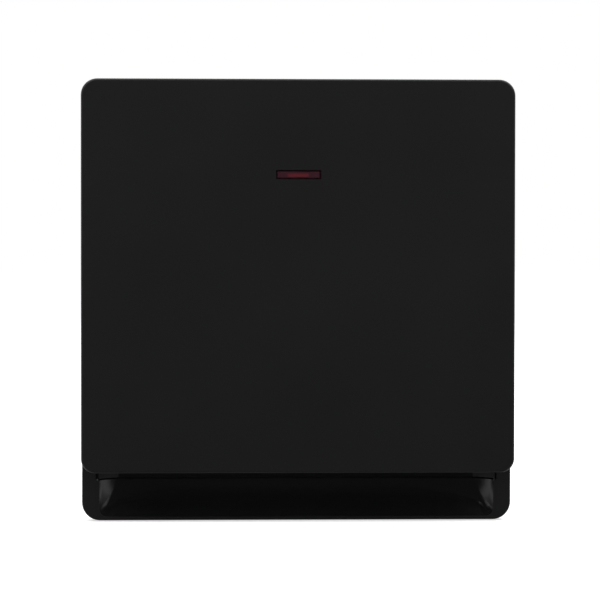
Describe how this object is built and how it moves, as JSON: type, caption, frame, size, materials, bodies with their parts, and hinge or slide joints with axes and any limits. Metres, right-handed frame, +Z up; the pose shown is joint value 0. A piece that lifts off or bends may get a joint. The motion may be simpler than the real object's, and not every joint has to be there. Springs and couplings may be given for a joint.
{
  "type": "double pole switch",
  "caption": "Flush black double pole wall switch with a full-width press plate, red indicator window and scooped surround.",
  "frame": {"origin": "midway between the two fixing slots, in the plane of the wall", "axes": "+Z up, +X to the right as seen from the front, +Y into the wall"},
  "size_m": [0.086, 0.0386, 0.088],
  "materials": {
    "black_moulding": "satin",
    "black_inner_moulding": "satin",
    "red_lens": "gloss",
    "clear_moulding": "gloss",
    "white_moulding": "satin",
    "grey_housing": "satin",
    "steel": "satin",
    "spring_steel": "satin",
    "silver": "satin",
    "copper": "satin",
    "brass_metal": "satin",
    "lamp_glass": "gloss",
    "resistor_body": "gloss"
  },
  "bodies": {
    "root": {"hinge_pins": "steel", "surround_frame": "black_moulding", "carrier_plate": "black_inner_moulding", "mechanism_cover": "white_moulding", "rear_housing": "grey_housing", "housing_screws": "steel", "terminal_screws": "steel", "tumbler_pin": "steel", "push_spring": "spring_steel", "fixed_silver_contacts": "silver", "neon_lamp": "lamp_glass", "neon_resistor": "resistor_body", "lamp_leads": "steel", "load_terminal_line": "brass_metal", "load_terminal_neutral": "brass_metal", "supply_terminal_line": "brass_metal", "supply_terminal_neutral": "brass_metal"},
    "press_plate": {"rocker_plate": "black_moulding", "indicator_lens": "red_lens", "light_guide": "clear_moulding", "rocker_cradle": "black_inner_moulding"},
    "push_rod": {"push_rod": "white_moulding", "finger_pin": "steel"},
    "pusher_finger": {"pusher_finger": "white_moulding"},
    "tumbler": {"tumbler": "white_moulding", "contact_spring_line": "spring_steel", "contact_spring_neutral": "spring_steel"},
    "contact_plunger_line": {"contact_plunger_line": "white_moulding"},
    "moving_contact_line": {"moving_contact_line": "copper", "moving_silver_line": "silver"},
    "contact_plunger_neutral": {"contact_plunger_neutral": "white_moulding"},
    "moving_contact_neutral": {"moving_contact_neutral": "copper", "moving_silver_neutral": "silver"}
  },
  "joints": [
    {"name": "press_plate_hinge", "type": "hinge", "parent": "root", "child": "press_plate", "pos_m": [0, -0.0062, 0.0375], "axis": [1, 0, 0], "range_deg": [0, 2.8], "stiffness_Nm_per_rad": 0.9, "springref_deg": -3.44},
    {"name": "push_rod_slide", "type": "slide", "parent": "root", "child": "push_rod", "axis": [0, 1, 0], "range_m": [0, 0.0019], "deforming": ["push_spring"]},
    {"name": "pusher_finger_hinge", "type": "hinge", "parent": "push_rod", "child": "pusher_finger", "pos_m": [0, 0.0022, 0], "axis": [1, 0, 0], "range_deg": [-15, 15]},
    {"name": "tumbler_hinge", "type": "hinge", "parent": "root", "child": "tumbler", "pos_m": [0, 0.0125, 0], "axis": [1, 0, 0], "range_deg": [0, 24]},
    {"name": "contact_plunger_line_slide", "type": "slide", "parent": "tumbler", "child": "contact_plunger_line", "axis": [0, -0.9781, 0.2079], "range_m": [0, 0.0008], "stiffness_N_per_m": 1500, "springref_m": -0.001, "deforming": ["contact_spring_line"]},
    {"name": "moving_contact_line_hinge", "type": "hinge", "parent": "root", "child": "moving_contact_line", "pos_m": [-0.011, 0.0219, 0], "axis": [-1, 0, 0], "range_deg": [0, 20]},
    {"name": "contact_plunger_neutral_slide", "type": "slide", "parent": "tumbler", "child": "contact_plunger_neutral", "axis": [0, -0.9781, 0.2079], "range_m": [0, 0.0008], "stiffness_N_per_m": 1500, "springref_m": -0.001, "deforming": ["contact_spring_neutral"]},
    {"name": "moving_contact_neutral_hinge", "type": "hinge", "parent": "root", "child": "moving_contact_neutral", "pos_m": [0.011, 0.0219, 0], "axis": [-1, 0, 0], "range_deg": [0, 20]}
  ],
  "couplings": [
    {"joint": "push_rod_slide", "follows": "press_plate_hinge", "m_per_rad": 0.0375},
    {"joint": "moving_contact_line_hinge", "follows": "tumbler_hinge", "ratio": 0.83333},
    {"joint": "moving_contact_neutral_hinge", "follows": "tumbler_hinge", "ratio": 0.83333}
  ]
}
